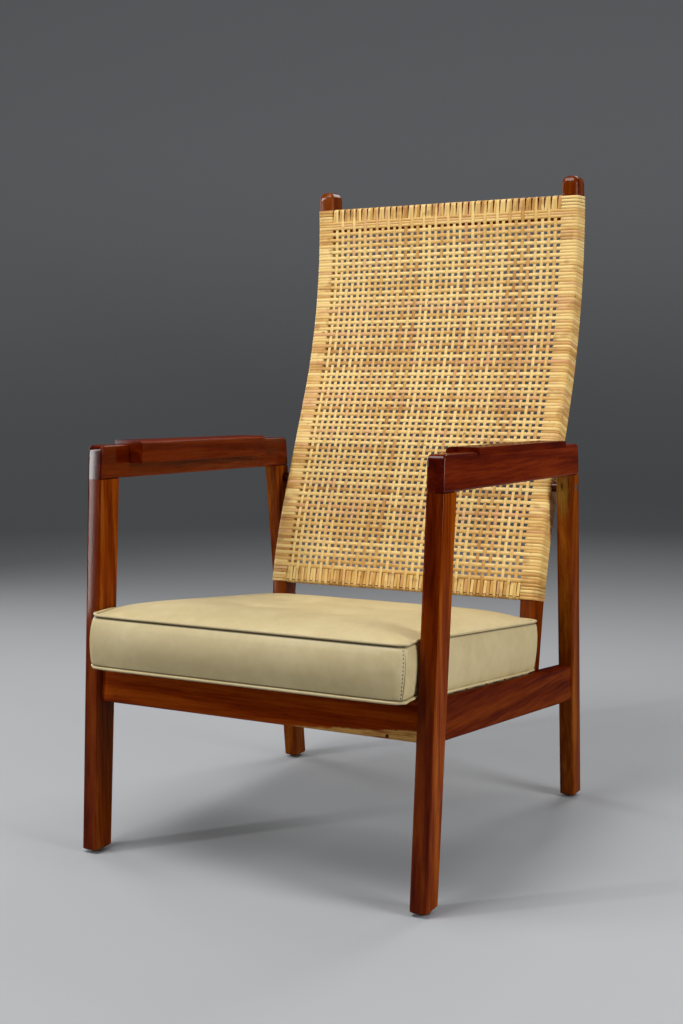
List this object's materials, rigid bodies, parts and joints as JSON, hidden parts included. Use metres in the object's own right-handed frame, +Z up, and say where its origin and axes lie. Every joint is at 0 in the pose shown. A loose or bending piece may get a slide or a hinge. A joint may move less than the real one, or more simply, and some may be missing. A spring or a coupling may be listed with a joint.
{
  "type": "lounge chair",
  "caption": "Low lounge chair with a raked reddish wood frame, a tall bent back woven in open cane, flat arms with let-in pads, and a loose piped seat cushion.",
  "frame": {"origin": "On the floor, under the middle of the chair's bounding box", "axes": "+Z up, +Y towards the back of the chair, +X towards the sitter's left"},
  "size_m": [0.572, 0.7325, 1.04],
  "materials": {
    "frame_wood": "orange-brown hardwood, satin lacquer",
    "arm_wood": "darker red-brown hardwood, satin lacquer",
    "dowel_beech": "plain turned dowel",
    "cane": "golden rattan strand, slightly glossy",
    "cushion_leather": "pale cream-olive, soft semi-matt",
    "webbing": "matt rubberised webbing",
    "tack_brass": "dull brass",
    "bolt_steel": "bright zinc-plated steel",
    "glide_plastic": "black moulded plastic"
  },
  "bodies": {
    "frame": {"left_front_leg": "frame_wood", "right_front_leg": "frame_wood", "left_rear_leg": "frame_wood", "right_rear_leg": "frame_wood", "left_side_rail": "frame_wood", "right_side_rail": "frame_wood", "front_seat_rail": "frame_wood", "rear_seat_rail": "frame_wood", "left_back_stile": "frame_wood", "right_back_stile": "frame_wood", "left_arm_rail": "arm_wood", "right_arm_rail": "arm_wood", "left_arm_pad": "arm_wood", "right_arm_pad": "arm_wood", "back_top_rail": "arm_wood", "back_bottom_rail": "arm_wood", "woven_cane_panel": "cane", "left_stile_wrap": "cane", "right_stile_wrap": "cane", "top_rail_wrap": "cane", "bottom_rail_wrap": "cane", "left_upper_back_spacer": "arm_wood", "right_upper_back_spacer": "arm_wood", "left_lower_back_spacer": "arm_wood", "right_lower_back_spacer": "arm_wood", "left_upper_back_bolt": "bolt_steel", "right_upper_back_bolt": "bolt_steel", "left_lower_back_bolt": "bolt_steel", "right_lower_back_bolt": "bolt_steel", "left_front_pad_dowel": "dowel_beech", "left_rear_pad_dowel": "dowel_beech", "right_front_pad_dowel": "dowel_beech", "right_rear_pad_dowel": "dowel_beech", "seat_strap_1": "webbing", "seat_strap_2": "webbing", "seat_strap_3": "webbing", "seat_strap_4": "webbing", "seat_strap_5": "webbing", "left_strap_tack_1": "tack_brass", "left_strap_tack_2": "tack_brass", "left_strap_tack_3": "tack_brass", "left_strap_tack_4": "tack_brass", "left_strap_tack_5": "tack_brass", "right_strap_tack_1": "tack_brass", "right_strap_tack_2": "tack_brass", "right_strap_tack_3": "tack_brass", "right_strap_tack_4": "tack_brass", "right_strap_tack_5": "tack_brass", "left_front_glide": "glide_plastic", "right_front_glide": "glide_plastic", "left_rear_glide": "glide_plastic", "right_rear_glide": "glide_plastic"},
    "cushion": {"seat_cushion": "cushion_leather", "cushion_top_piping": "cushion_leather", "cushion_bottom_piping": "cushion_leather"}
  },
  "joints": [
    {"name": "cushion_lift", "type": "slide", "parent": "frame", "child": "cushion", "axis": [0, -0.9063, 0.4226], "range_m": [0, 0.6]}
  ]
}
